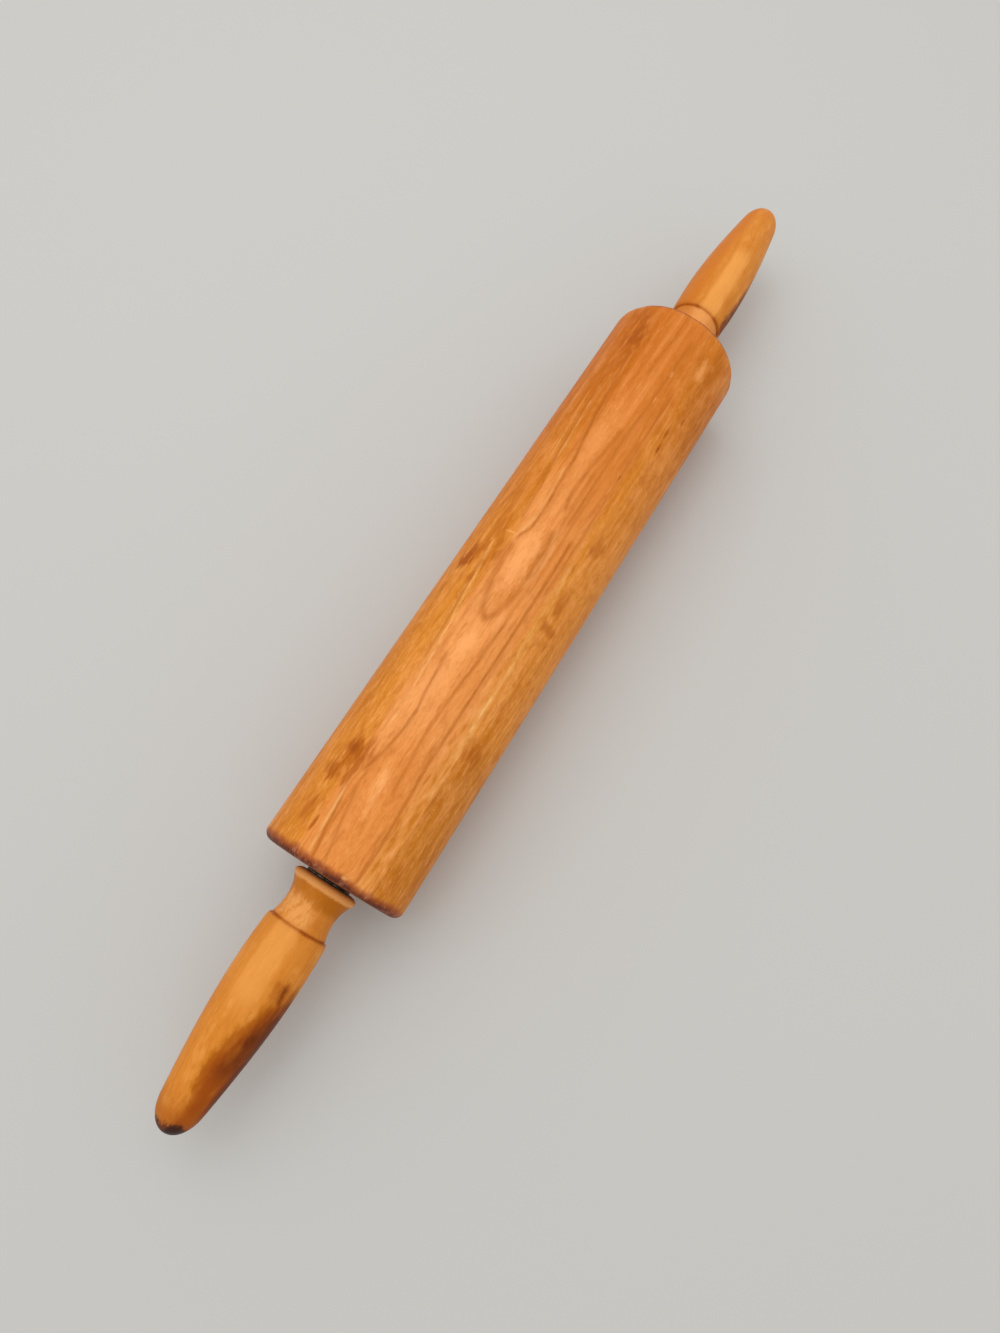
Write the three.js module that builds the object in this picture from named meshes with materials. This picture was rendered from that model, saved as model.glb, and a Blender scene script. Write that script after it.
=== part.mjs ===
// A wooden rolling pin: a turned hardwood barrel that spins on a steel axle, on a ball bearing at each
// end, between two turned handles. Millimetres, +Z up. The axle lies along X, the left end is at -X,
// and the barrel rests on the plane Z = 0 below the middle of the pin.
import * as THREE from "three";

// Barrel, turned from one piece of hardwood
const BARREL_LENGTH = 266.7;
const BARREL_RADIUS = 29;
const BARREL_EDGE_RADIUS = 4;
const BARREL_BORE_CLEARANCE = 1;

// Axle, a plain steel rod glued into both handles
const AXLE_RADIUS = 4;
const AXLE_IN_HANDLE = 55;
const AXLE_CHAMFER = 0.6;
const GLUE_GROOVE_DEPTH = 0.4;
const GLUE_GROOVE_WIDTH = 1.6;
const GLUE_GROOVE_FROM_END = 8;

// Ball bearings, loose balls between a flanged cup sunk in the barrel and a cone on the axle
const BALL_RADIUS = 2;
const BALL_COUNT = 10;
const BALL_CLEARANCE = 0.2;
const BALL_DEPTH = 3.4;
const RACE_LAND = 1;
const CONE_WALL = 1.05;
const CONE_DEPTH = 6.6;
const CONE_NOSE = 0.2;
const CUP_WALL = 1.6;
const CUP_DEPTH = 7;
const CUP_FLANGE_WIDTH = 0.9;
const CUP_FLANGE_THICKNESS = 0.8;

// Thrust washers, one against each handle
const WASHER_RADIUS = 9;
const WASHER_THICKNESS = 0.8;

// Handles, turned hardwood: a collar with a rounded front, a hollow neck, an incised line and a long grip
const HANDLE_LENGTH = 93.65;
const HANDLE_BORE_SPARE = 1;
const FACE_RADIUS = 9.8;
const COLLAR_FRONT = 1.7;
const COLLAR_RADIUS = 12.7;
const COLLAR_RIM = 0.8;
const COLLAR_STEP = 0.3;
const NECK_RADIUS = 9.85;
const NECK_END_RADIUS = 10.95;
const NECK_LENGTH = 15.2;
const LINE_WIDTH = 0.6;
const LINE_DEPTH = 0.3;
const SHOULDER_RADIUS = 11.45;
const SHOULDER_LENGTH = 3.2;
const GRIP_START_RADIUS = 12.25;
const GRIP_RADIUS = 12.65;
const GRIP_SWELL_LENGTH = 13;
const TIP_RADIUS = 8.35;
const TIP_LENGTH = 9.75;

// How the handle's curves bend: where each pulls, as a share of its own length, and the grip's fall per
// millimetre where it runs into the tip
const NECK_PULL = 0.3;
const SHOULDER_PULL = 0.2;
const SWELL_PULL = 0.5;
const TAPER_START_PULL = 0.35;
const TAPER_END_PULL = 0.33;
const TIP_PULL = 0.53;
const TIP_SLOPE = 0.14;
const TIP_BLUNTNESS = 0.55;

// Fits
const RUNNING_CLEARANCE = 0.15;
const PRESS_GAP = 0.1;
const BARREL_FLOAT = 0.5;

// Facets round each turned piece, and steps along its curves
const BARREL_FACETS = 32;
const HANDLE_FACETS = 28;
const BEARING_FACETS = 24;
const AXLE_FACETS = 20;
const BALL_DETAIL = 1;
const BARREL_EDGE_STEPS = 5;
const RACE_STEPS = 4;
const COLLAR_STEPS = 4;
const NECK_STEPS = 7;
const SHOULDER_STEPS = 3;
const SWELL_STEPS = 2;
const TAPER_STEPS = 6;
const TIP_STEPS = 6;

// Sizes that follow from those above
const coneBoreRadius = AXLE_RADIUS + RUNNING_CLEARANCE;
const ballCircleRadius = coneBoreRadius + CONE_WALL + BALL_CLEARANCE + BALL_RADIUS;
const raceRadius = BALL_RADIUS + BALL_CLEARANCE;
const cupRadius = ballCircleRadius + raceRadius + CUP_WALL;
const flangeRadius = cupRadius + CUP_FLANGE_WIDTH;
const washerFace = CONE_NOSE + BARREL_FLOAT;
const collarFace = washerFace + WASHER_THICKNESS + PRESS_GAP;
const handleBoreRadius = AXLE_RADIUS + PRESS_GAP;
const axleHalfLength = BARREL_LENGTH / 2 + collarFace + AXLE_IN_HANDLE;

const barrelWood = new THREE.MeshStandardMaterial({ color: 0xc97a33, roughness: 0.45, metalness: 0 });
const handleWood = new THREE.MeshStandardMaterial({ color: 0xcf822f, roughness: 0.4, metalness: 0 });
const axleSteel = new THREE.MeshStandardMaterial({ color: 0x8e8c88, roughness: 0.35, metalness: 1 });
const bearingSteel = new THREE.MeshStandardMaterial({ color: 0x77746e, roughness: 0.4, metalness: 1 });
const ballSteel = new THREE.MeshStandardMaterial({ color: 0xc8c8c6, roughness: 0.12, metalness: 1 });

const point = (along, radius) => new THREE.Vector2(radius, along);

// Points of a circular arc in an outline, from one angle to another: 0 points outwards, 90 along the axle.
function arc(along, radius, size, from, to, steps) {
  return Array.from({ length: steps + 1 }, (_, i) => {
    const angle = THREE.MathUtils.degToRad(from + ((to - from) * i) / steps);
    return point(along + size * Math.sin(angle), radius + size * Math.cos(angle));
  });
}

// A closed outline, revolved about the axle. It runs outwards along the outer side and back along the bore.
function turned(name, outline, facets, material) {
  const geometry = new THREE.LatheGeometry(outline, facets, Math.PI / facets);
  geometry.rotateZ(-Math.PI / 2);
  const mesh = new THREE.Mesh(geometry, material);
  mesh.name = name;
  return mesh;
}

function closed(outline) {
  return [...outline, outline[0].clone()];
}

// The barrel: rounded edges, a clearance bore for the axle, and at each end a stepped seat for a bearing
// cup. Its flats, not its corners, lie on the turned radius, so that it rests on one of them.
function makeBarrel() {
  const end = BARREL_LENGTH / 2;
  const corner = BARREL_RADIUS / Math.cos(Math.PI / BARREL_FACETS);
  const core = corner - BARREL_EDGE_RADIUS;
  const bore = AXLE_RADIUS + BARREL_BORE_CLEARANCE;
  const seat = cupRadius + PRESS_GAP;
  const seatDepth = CUP_DEPTH + PRESS_GAP;
  const flangeSeat = flangeRadius + PRESS_GAP;
  const flangeSeatDepth = CUP_FLANGE_THICKNESS + PRESS_GAP;
  return turned(
    "barrel",
    closed([
      point(-end, flangeSeat),
      ...arc(-end + BARREL_EDGE_RADIUS, core, BARREL_EDGE_RADIUS, -90, 0, BARREL_EDGE_STEPS),
      ...arc(end - BARREL_EDGE_RADIUS, core, BARREL_EDGE_RADIUS, 0, 90, BARREL_EDGE_STEPS),
      point(end, flangeSeat),
      point(end - flangeSeatDepth, flangeSeat),
      point(end - flangeSeatDepth, seat),
      point(end - seatDepth, seat),
      point(end - seatDepth, bore),
      point(-end + seatDepth, bore),
      point(-end + seatDepth, seat),
      point(-end + flangeSeatDepth, seat),
      point(-end + flangeSeatDepth, flangeSeat),
    ]),
    BARREL_FACETS,
    barrelWood,
  );
}

// The axle: a rod with chamfered ends and a glue groove near each end, inside the handles.
function makeAxle() {
  const end = axleHalfLength;
  const tip = AXLE_RADIUS - AXLE_CHAMFER;
  const groove = AXLE_RADIUS - GLUE_GROOVE_DEPTH;
  const outer = end - GLUE_GROOVE_FROM_END;
  const inner = outer - GLUE_GROOVE_WIDTH;
  const grooveAt = (from, to) => [
    point(from, AXLE_RADIUS),
    point(from, groove),
    point(to, groove),
    point(to, AXLE_RADIUS),
  ];
  return turned(
    "axle_rod",
    [
      point(-end, 0),
      point(-end, tip),
      point(-end + AXLE_CHAMFER, AXLE_RADIUS),
      ...grooveAt(-outer, -inner),
      ...grooveAt(inner, outer),
      point(end - AXLE_CHAMFER, AXLE_RADIUS),
      point(end, tip),
      point(end, 0),
    ],
    AXLE_FACETS,
    axleSteel,
  );
}

// The angle, from the middle of a race groove, at which it breaks through its land.
const raceEdgeAngle = THREE.MathUtils.radToDeg(Math.acos(RACE_LAND / raceRadius));

// The outer race: pressed into the barrel, with its thin flange flush with the barrel's end.
function makeCup(name) {
  const land = ballCircleRadius + RACE_LAND;
  return turned(
    name,
    closed([
      point(-CUP_DEPTH, land),
      point(-CUP_DEPTH, cupRadius),
      point(-CUP_FLANGE_THICKNESS, cupRadius),
      point(-CUP_FLANGE_THICKNESS, flangeRadius),
      point(0, flangeRadius),
      point(0, land),
      ...arc(-BALL_DEPTH, ballCircleRadius, raceRadius, raceEdgeAngle, -raceEdgeAngle, RACE_STEPS),
    ]),
    BEARING_FACETS,
    bearingSteel,
  );
}

// The inner race: slips along the axle, and its nose meets the thrust washer at the end of the float.
function makeCone(name) {
  const land = ballCircleRadius - RACE_LAND;
  const from = 180 + raceEdgeAngle;
  const to = 180 - raceEdgeAngle;
  return turned(
    name,
    closed([
      point(-CONE_DEPTH, coneBoreRadius),
      point(-CONE_DEPTH, land),
      ...arc(-BALL_DEPTH, ballCircleRadius, raceRadius, from, to, RACE_STEPS),
      point(CONE_NOSE, land),
      point(CONE_NOSE, coneBoreRadius),
    ]),
    BEARING_FACETS,
    bearingSteel,
  );
}

// One ball, on a circle about the axle. The balls are spaced evenly round it.
function makeBall(name, index) {
  const halfGap = Math.PI / BALL_COUNT;
  const turn = (2 * index + 1) * halfGap;
  const mesh = new THREE.Mesh(new THREE.IcosahedronGeometry(BALL_RADIUS, BALL_DETAIL), ballSteel);
  mesh.name = name;
  mesh.position.set(-BALL_DEPTH, ballCircleRadius * Math.cos(turn), ballCircleRadius * Math.sin(turn));
  return mesh;
}

function makeWasher(name) {
  const outer = washerFace + WASHER_THICKNESS;
  return turned(
    name,
    closed([
      point(washerFace, coneBoreRadius),
      point(washerFace, WASHER_RADIUS),
      point(outer, WASHER_RADIUS),
      point(outer, coneBoreRadius),
    ]),
    BEARING_FACETS,
    axleSteel,
  );
}

// The handle's outline, from the blind bore out over the collar's face and along the grip to the tip.
function makeHandle(name) {
  const rimEnd = COLLAR_FRONT + COLLAR_RIM;
  const neckEnd = rimEnd + NECK_LENGTH;
  const lineEnd = neckEnd + LINE_WIDTH;
  const gripStart = lineEnd + SHOULDER_LENGTH;
  const gripWidest = gripStart + GRIP_SWELL_LENGTH;
  const tipStart = HANDLE_LENGTH - TIP_LENGTH;
  const taper = tipStart - gripWidest;
  const boreDepth = AXLE_IN_HANDLE + HANDLE_BORE_SPARE;

  // The rounded front is a quarter of an ellipse between the face and the rim.
  const front = new THREE.EllipseCurve(
    FACE_RADIUS,
    COLLAR_FRONT,
    COLLAR_RADIUS - FACE_RADIUS,
    COLLAR_FRONT,
    -Math.PI / 2,
    0,
  );
  // The two middle points of the neck's curve share one radius, which brings its middle to the neck's own.
  const neckStartRadius = COLLAR_RADIUS - COLLAR_STEP;
  const neckPullRadius = (8 * NECK_RADIUS - neckStartRadius - NECK_END_RADIUS) / 6;
  const cove = new THREE.CubicBezierCurve(
    point(rimEnd, neckStartRadius),
    point(rimEnd + NECK_LENGTH * NECK_PULL, neckPullRadius),
    point(neckEnd - NECK_LENGTH * NECK_PULL, neckPullRadius),
    point(neckEnd, NECK_END_RADIUS),
  );
  const shoulder = new THREE.QuadraticBezierCurve(
    point(lineEnd, SHOULDER_RADIUS),
    point(lineEnd + SHOULDER_LENGTH * SHOULDER_PULL, GRIP_START_RADIUS),
    point(gripStart, GRIP_START_RADIUS),
  );
  const swell = new THREE.QuadraticBezierCurve(
    point(gripStart, GRIP_START_RADIUS),
    point(gripStart + GRIP_SWELL_LENGTH * SWELL_PULL, GRIP_RADIUS),
    point(gripWidest, GRIP_RADIUS),
  );
  const grip = new THREE.CubicBezierCurve(
    point(gripWidest, GRIP_RADIUS),
    point(gripWidest + taper * TAPER_START_PULL, GRIP_RADIUS),
    point(tipStart - taper * TAPER_END_PULL, TIP_RADIUS + taper * TAPER_END_PULL * TIP_SLOPE),
    point(tipStart, TIP_RADIUS),
  );
  const tip = new THREE.CubicBezierCurve(
    point(tipStart, TIP_RADIUS),
    point(tipStart + TIP_LENGTH * TIP_PULL, TIP_RADIUS - TIP_LENGTH * TIP_PULL * TIP_SLOPE),
    point(HANDLE_LENGTH, TIP_RADIUS * TIP_BLUNTNESS),
    point(HANDLE_LENGTH, 0),
  );
  const onwards = (curve, steps) => curve.getPoints(steps).slice(1);

  const outline = [
    point(boreDepth, 0),
    point(boreDepth, handleBoreRadius),
    point(0, handleBoreRadius),
    ...front.getPoints(COLLAR_STEPS),
    point(rimEnd, COLLAR_RADIUS),
    ...cove.getPoints(NECK_STEPS),
    point(neckEnd + LINE_WIDTH / 2, NECK_END_RADIUS - LINE_DEPTH),
    ...shoulder.getPoints(SHOULDER_STEPS),
    ...onwards(swell, SWELL_STEPS),
    ...onwards(grip, TAPER_STEPS),
    ...onwards(tip, TIP_STEPS),
  ];
  const mesh = turned(name, outline, HANDLE_FACETS, handleWood);
  mesh.position.x = collarFace;
  return mesh;
}

// Everything at one end of the barrel, built for the right end and turned half round for the left.
function makeEnd(side, turn) {
  const frame = new THREE.Group();
  frame.rotation.z = turn;
  const end = new THREE.Group();
  end.position.x = BARREL_LENGTH / 2;
  frame.add(end);
  end.add(makeCup(`${side}_bearing_cup`));
  end.add(makeCone(`${side}_bearing_cone`));
  for (let index = 0; index < BALL_COUNT; index++) {
    end.add(makeBall(`${side}_ball_${String(index + 1).padStart(2, "0")}`, index));
  }
  end.add(makeWasher(`${side}_thrust_washer`));
  end.add(makeHandle(`${side}_handle`));
  return frame;
}

const rollingPin = new THREE.Group();
rollingPin.position.z = BARREL_RADIUS;
rollingPin.add(makeBarrel());
rollingPin.add(makeAxle());
rollingPin.add(makeEnd("left", Math.PI));
rollingPin.add(makeEnd("right", 0));

const part = new THREE.Group();
part.add(rollingPin);

export default part;
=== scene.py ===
# A wooden rolling pin on a pale table, seen from above its near handle. The pieces follow one another in
# the order in which the pin is put together, and lengths are in millimetres until a mesh is made.
import math
import random
from types import SimpleNamespace

import bmesh
import bpy
import numpy as np
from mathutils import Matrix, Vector


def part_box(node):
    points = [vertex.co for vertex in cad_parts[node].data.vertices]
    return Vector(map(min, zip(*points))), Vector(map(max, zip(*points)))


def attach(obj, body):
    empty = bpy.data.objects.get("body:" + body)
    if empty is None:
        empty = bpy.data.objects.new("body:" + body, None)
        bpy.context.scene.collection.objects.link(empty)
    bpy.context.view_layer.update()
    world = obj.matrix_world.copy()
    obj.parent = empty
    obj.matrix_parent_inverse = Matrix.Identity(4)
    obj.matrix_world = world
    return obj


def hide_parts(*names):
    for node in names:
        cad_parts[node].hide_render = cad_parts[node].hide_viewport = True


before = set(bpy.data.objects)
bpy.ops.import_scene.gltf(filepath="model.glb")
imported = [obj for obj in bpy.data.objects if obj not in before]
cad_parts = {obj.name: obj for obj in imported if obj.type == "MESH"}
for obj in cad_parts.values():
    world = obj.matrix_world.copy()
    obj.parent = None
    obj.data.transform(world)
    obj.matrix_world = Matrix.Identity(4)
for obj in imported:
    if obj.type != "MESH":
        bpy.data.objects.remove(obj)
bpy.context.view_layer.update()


# Barrel: one piece of hardwood, turned to a plain cylinder with rounded edges, bored right through for the
# axle and stepped at each end for a bearing cup. It is stained amber and varnished, and years of use have
# left it with dents, scratches, a knocked dark near rim and brown patches of oil. Some of its colour is
# painted highlight: a paler crown, a long pale streak and a glint along the side towards the camera.
MILLIMETRE = 0.001
barrel_low, barrel_high = (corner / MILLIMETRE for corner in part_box("barrel"))
axle_height = (barrel_low.z + barrel_high.z) / 2
barrel_radius = (barrel_high.z - barrel_low.z) / 2
barrel_end = barrel_high.x
NEAR_EDGE = 3.6
FAR_EDGE = 4.4
EDGE_STEPS = 10
BARREL_BORE = 5
CUP_SEAT_RADIUS = 11.3
CUP_SEAT_DEPTH = 7.1
FLANGE_SEAT_RADIUS = 12.2
FLANGE_SEAT_DEPTH = 0.9
BARREL_STEPS_ALONG = 120
BARREL_STEPS_AROUND = 192
SHARP_ANGLE = math.radians(38)


def arc(along, radius, size, start, end, steps):
    """Points of a round edge as (along, radius): 0 degrees points away from the axle, 90 along it."""
    angles = np.radians(np.linspace(start, end, steps + 1))
    return [(along + size * math.sin(a), radius + size * math.cos(a)) for a in angles]


def turn_on_lathe(name, outline, steps_around):
    """Revolves an outline of (along, radius) points about the axle, into a closed mesh in metres.
    The outline starts and ends on the axle, or comes back to its first point."""
    shape = bmesh.new()
    turns = np.radians(np.arange(steps_around) * 360 / steps_around)
    closed = outline[0] == outline[-1]
    rings = []
    for along, radius in outline[:-1] if closed else outline:
        around = turns if radius > 0 else turns[:1]
        places = [(along, -radius * math.sin(t), axle_height + radius * math.cos(t)) for t in around]
        rings.append([shape.verts.new(Vector(place) * MILLIMETRE) for place in places])
    if closed:
        rings.append(rings[0])
    for ring, following in zip(rings, rings[1:]):
        for i in range(steps_around):
            j = i + 1
            corners = [ring[i % len(ring)], ring[j % len(ring)]]
            corners += [following[j % len(following)], following[i % len(following)]]
            shape.faces.new(list(dict.fromkeys(corners)))
    bmesh.ops.recalc_face_normals(shape, faces=shape.faces)
    return finish_mesh(name, shape)


def finish_mesh(name, shape):
    """Makes an object of a shape, smooth but for its sharp edges."""
    mesh = bpy.data.meshes.new(name)
    shape.to_mesh(mesh)
    shape.free()
    mesh.shade_smooth()
    mesh.set_sharp_from_angle(angle=SHARP_ANGLE)
    piece = bpy.data.objects.new(name, mesh)
    bpy.context.scene.collection.objects.link(piece)
    return piece


def press_dents(piece, dents):
    """Pushes dents towards the axle. Each is (along, turn in degrees, half width, depth)."""
    count = len(piece.data.vertices)
    points = np.zeros(count * 3)
    piece.data.vertices.foreach_get("co", points)
    points = points.reshape(-1, 3) / MILLIMETRE
    side = -points[:, 1]
    up = points[:, 2] - axle_height
    radius = np.hypot(side, up)
    turn = np.arctan2(side, up)
    sunk = np.zeros(count)
    for along, degrees, width, depth in dents:
        apart = np.angle(np.exp(1j * (turn - math.radians(degrees)))) * radius
        spread = ((points[:, 0] - along) ** 2 + apart**2) / width**2
        sunk += depth * np.exp(-spread)
    sunk *= radius > barrel_radius / 2
    points[:, 1] += sunk * np.sin(turn)
    points[:, 2] -= sunk * np.cos(turn)
    piece.data.vertices.foreach_set("co", (points * MILLIMETRE).ravel())
    piece.data.update()


flank = np.linspace(NEAR_EDGE - barrel_end, barrel_end - FAR_EDGE, BARREL_STEPS_ALONG + 1)
end_face_middle = (FLANGE_SEAT_RADIUS + barrel_radius) / 2
barrel_outline = [
    (-barrel_end, FLANGE_SEAT_RADIUS),
    (-barrel_end, end_face_middle),
    *arc(NEAR_EDGE - barrel_end, barrel_radius - NEAR_EDGE, NEAR_EDGE, -90, 0, EDGE_STEPS)[:-1],
    *((along, barrel_radius) for along in flank),
    *arc(barrel_end - FAR_EDGE, barrel_radius - FAR_EDGE, FAR_EDGE, 0, 90, EDGE_STEPS)[1:],
    (barrel_end, end_face_middle),
    (barrel_end, FLANGE_SEAT_RADIUS),
    (barrel_end - FLANGE_SEAT_DEPTH, FLANGE_SEAT_RADIUS),
    (barrel_end - FLANGE_SEAT_DEPTH, CUP_SEAT_RADIUS),
    (barrel_end - CUP_SEAT_DEPTH, CUP_SEAT_RADIUS),
    (barrel_end - CUP_SEAT_DEPTH, BARREL_BORE),
    (CUP_SEAT_DEPTH - barrel_end, BARREL_BORE),
    (CUP_SEAT_DEPTH - barrel_end, CUP_SEAT_RADIUS),
    (FLANGE_SEAT_DEPTH - barrel_end, CUP_SEAT_RADIUS),
    (FLANGE_SEAT_DEPTH - barrel_end, FLANGE_SEAT_RADIUS),
    (-barrel_end, FLANGE_SEAT_RADIUS),
]
barrel = turn_on_lathe("barrel_turned", barrel_outline, BARREL_STEPS_AROUND)

# Dents from use all over the flank, and nicks in both rims, where a pale one shows on the near rim.
WEAR_SEED = 11
ALL_ROUND = (-180, 180)
FLANK_DENTS = 70
DENT_PLACES = (-120, 120)
DENT_HALF_WIDTHS = (1.6, 4.5)
DENT_DEPTHS = (0.04, 0.14)
RIM_NICKS = 9
NICK_INSETS = (0.8, 3.2)
NICK_HALF_WIDTHS = (1.2, 2.6)
NICK_DEPTHS = (0.06, 0.22)
PALE_NICK = (-130.3, 19.5)
PALE_NICK_HALF_WIDTH = 2.0
PALE_NICK_DEPTH = 0.4
wear = random.Random(WEAR_SEED)
dents = []
for _ in range(FLANK_DENTS):
    dent_place = (wear.uniform(*DENT_PLACES), wear.uniform(*ALL_ROUND))
    dents.append((*dent_place, wear.uniform(*DENT_HALF_WIDTHS), wear.uniform(*DENT_DEPTHS)))
for end in (-1, 1):
    for _ in range(RIM_NICKS):
        nick_along = end * (barrel_end - wear.uniform(*NICK_INSETS))
        nick_place = (nick_along, wear.uniform(*ALL_ROUND))
        dents.append((*nick_place, wear.uniform(*NICK_HALF_WIDTHS), wear.uniform(*NICK_DEPTHS)))
dents.append((*PALE_NICK, PALE_NICK_HALF_WIDTH, PALE_NICK_DEPTH))
press_dents(barrel, dents)


class Wire:
    """An output of a material's nodes. Arithmetic on wires and numbers adds the Math nodes for it."""

    def __init__(self, tree, socket=None):
        self.tree = tree
        self.socket = socket

    def node(self, kind, settings=(), sockets=(), output=0):
        """Adds a node: its settings are set first, then its sockets take values or wires.
        The setting "stops" holds a grey ramp's stops as (place, grey), from place 0 to place 1."""
        made = self.tree.nodes.new("ShaderNode" + kind)
        for name, value in dict(settings).items():
            if name == "stops":
                stops = made.color_ramp.elements
                for place, _ in value[1:-1]:
                    stops.new(place)
                for stop, (_, grey) in zip(stops, value):
                    stop.color = (grey, grey, grey, 1)
            else:
                setattr(made, name, value)
        for name, value in dict(sockets).items():
            if isinstance(value, Wire):
                self.tree.links.new(value.socket, made.inputs[name])
            else:
                made.inputs[name].default_value = value
        return Wire(self.tree, made.outputs[output])

    def beside(self, output):
        return Wire(self.tree, self.socket.node.outputs[output])

    def maths(self, operation, *values):
        return self.node("Math", {"operation": operation}, enumerate(values))

    def __add__(self, other):
        return self.maths("ADD", self, other)

    def __sub__(self, other):
        return self.maths("SUBTRACT", self, other)

    def __rsub__(self, other):
        return self.maths("SUBTRACT", other, self)

    def __mul__(self, other):
        return self.maths("MULTIPLY", self, other)

    def __truediv__(self, other):
        return self.maths("DIVIDE", self, other)

    def __abs__(self):
        return self.maths("ABSOLUTE", self)

    __radd__ = __add__
    __rmul__ = __mul__


def distance(side, up):
    return side.maths("SQRT", side * side + up * up)


def rise(value, low, high):
    """0 at low, 1 at high, with a soft start and end. Low may be the larger of the two."""
    settings = {"interpolation_type": "SMOOTHSTEP"}
    return value.node("MapRange", settings, {"Value": value, "From Min": low, "From Max": high})


def band(value, start, end, soft):
    """1 between two places, fading to 0 over a soft stretch outside each."""
    return rise(value, start - soft, start) * rise(value, end + soft, end)


def cloud(along, side, up, sizes, detail=3.0):
    """Soft noise from -0.5 to 0.5, in patches of the given sizes along, to the side and upwards."""
    stretched = along.node("CombineXYZ", {}, {0: along / sizes[0], 1: side / sizes[1], 2: up / sizes[2]})
    return along.node("TexNoise", {}, {"Vector": stretched, "Scale": 1.0, "Detail": detail}) - 0.5


def paint(under, over, share):
    """Lays one colour over another. Share is how much of it covers."""
    settings = {"data_type": "RGBA", "clamp_factor": True}
    return share.node("Mix", settings, {0: share, 6: under, 7: over}, 2)


def new_finish(name):
    """A material, the place of a point of its piece in millimetres (along the axle, to the side that faces
    the camera, and up from the axle), and the same point's turn round the axle in degrees from the top."""
    material = bpy.data.materials.new(name)
    material.use_nodes = True
    start = Wire(material.node_tree)
    point = start.node("SeparateXYZ", {}, {0: start.node("TexCoord", {}, {}, "Object")})
    along = point / MILLIMETRE
    side = point.beside("Y") / -MILLIMETRE
    up = point.beside("Z") / MILLIMETRE - axle_height
    turn = side.maths("ARCTAN2", side, up) * math.degrees(1)
    return material, along, side, up, turn


def dress(material, height=None, **sockets):
    """Sets the shader's own sockets, with Base_Color for Base Color and so on. Height is a bump in mm."""
    tree = material.node_tree
    if height is not None:
        sockets["Normal"] = height.node("Bump", {}, {"Distance": MILLIMETRE, "Height": height})
    for name, value in sockets.items():
        socket = tree.nodes["Principled BSDF"].inputs[name.replace("_", " ")]
        if isinstance(value, Wire):
            tree.links.new(value.socket, socket)
        else:
            socket.default_value = value


def clothe(piece, material, body, slot, *nodes):
    """Gives a piece its finish, its body and the plain solids that it stands for. Its slot is not used."""
    piece.data.materials.append(material)
    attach(piece, body)
    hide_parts(*nodes)


SPOT_CORE = 0.12
SPOT_EDGE = 1.2
STROKE_INSET = 2
STROKE_FADE = 4
LATE_WOOD_END = 0.97


def spot(along, around, centre, size, ragged):
    """1 in a mark, fading to 0 at a ragged edge. Centre and size are along and around the skin, in mm."""
    reach = distance((along - centre[0]) / size[0], (around - centre[1]) / size[1])
    return rise(reach + ragged, SPOT_EDGE, SPOT_CORE)


def turn_of_line(along, points):
    """The turn of a line drawn through points of (along, turn), at each place along it."""
    start, length = points[0][0], points[-1][0] - points[0][0]
    stops = [((a - start) / length, t / 180 + 0.5) for a, t in points]
    ramp = along.node("ValToRGB", {"stops": stops}, {0: (along - start) / length})
    return (ramp - 0.5) * 180


def strokes(along, turn, mm_per_degree, points, wobble, *half_widths):
    """For each half width, 1 on a line drawn on the skin, fading to 0 at its sides and its ends."""
    off_line = abs((turn - turn_of_line(along, points)) * mm_per_degree + wobble)
    within = band(along, points[0][0] + STROKE_INSET, points[-1][0] - STROKE_INSET, STROKE_FADE)
    return [rise(off_line, half_width, 0) * within for half_width in half_widths]


def late_growth(rings, start):
    """The darker late wood of each ring, from a share of its width to its sharp outer edge."""
    place = rings.maths("FRACT", rings)
    return rise(place, start, LATE_WOOD_END) * rise(place, 1.0, LATE_WOOD_END)


# The stem's pith ran below the barrel, so its rings lie flat in the top and stand upright in the sides.
PITH_BELOW = 60
PITH_TURN = 5
PITH_DRIFT = 0.03
RING_LEAN = 0.006
RING_GAP = 1.5
RING_SWAY = 2.4
LATE_WOOD_START = 0.45
HEART = (0.79, 0.264, 0.053, 1)
OCHRE = (0.74, 0.256, 0.026, 1)
SIDE_OCHRE = (0.60, 0.198, 0.015, 1)
RED_AMBER = (0.56, 0.135, 0.002, 1)
PALE_HEART = (0.95, 0.392, 0.125, 1)
PALE_FIBRE = (0.97, 0.45, 0.14, 1)
SCRATCH_AND_HIGHLIGHT_PALE = (1.0, 0.56, 0.2, 1)
RING_BROWN = (0.42, 0.105, 0.003, 1)
OIL_BROWN = (0.41, 0.09, 0.002, 1)
KNOT_BROWN = (0.27, 0.048, 0.001, 1)
RIM_RED = (0.25, 0.040, 0.012, 1)
RIM_PURPLE = (0.075, 0.016, 0.012, 1)
RIM_PINK = (0.62, 0.25, 0.14, 1)
END_BROWN = (0.34, 0.105, 0.022, 1)

barrel_wood, along, side, up, turn = new_finish("barrel wood")
mm_per_degree = math.radians(1) * barrel_radius
around = turn * mm_per_degree
sway = cloud(along, side, up, (70, 20, 20), 2.0)
streaks = cloud(along, side, up, (48, 2.8, 2.8), 4.0)
fibres = cloud(along, side, up, (20, 0.9, 0.9), 4.0)
fine_fibres = cloud(along, side, up, (9, 0.3, 0.3), 2.0)
mottle = cloud(along, side, up, (9, 4.5, 4.5), 6.0)
smudges = cloud(along, side, up, (5.5, 5, 5), 6.0)
grit = cloud(along, side, up, (2.2, 0.9, 0.9), 3.0)
broad = cloud(along, side, up, (45, 16, 16), 3.0)
flecks = cloud(along, side, up, (6, 1.7, 1.7), 5.0)
pores = rise(cloud(along, side, up, (3.5, 0.32, 0.32), 1.0), 0.17, 0.24)

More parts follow.
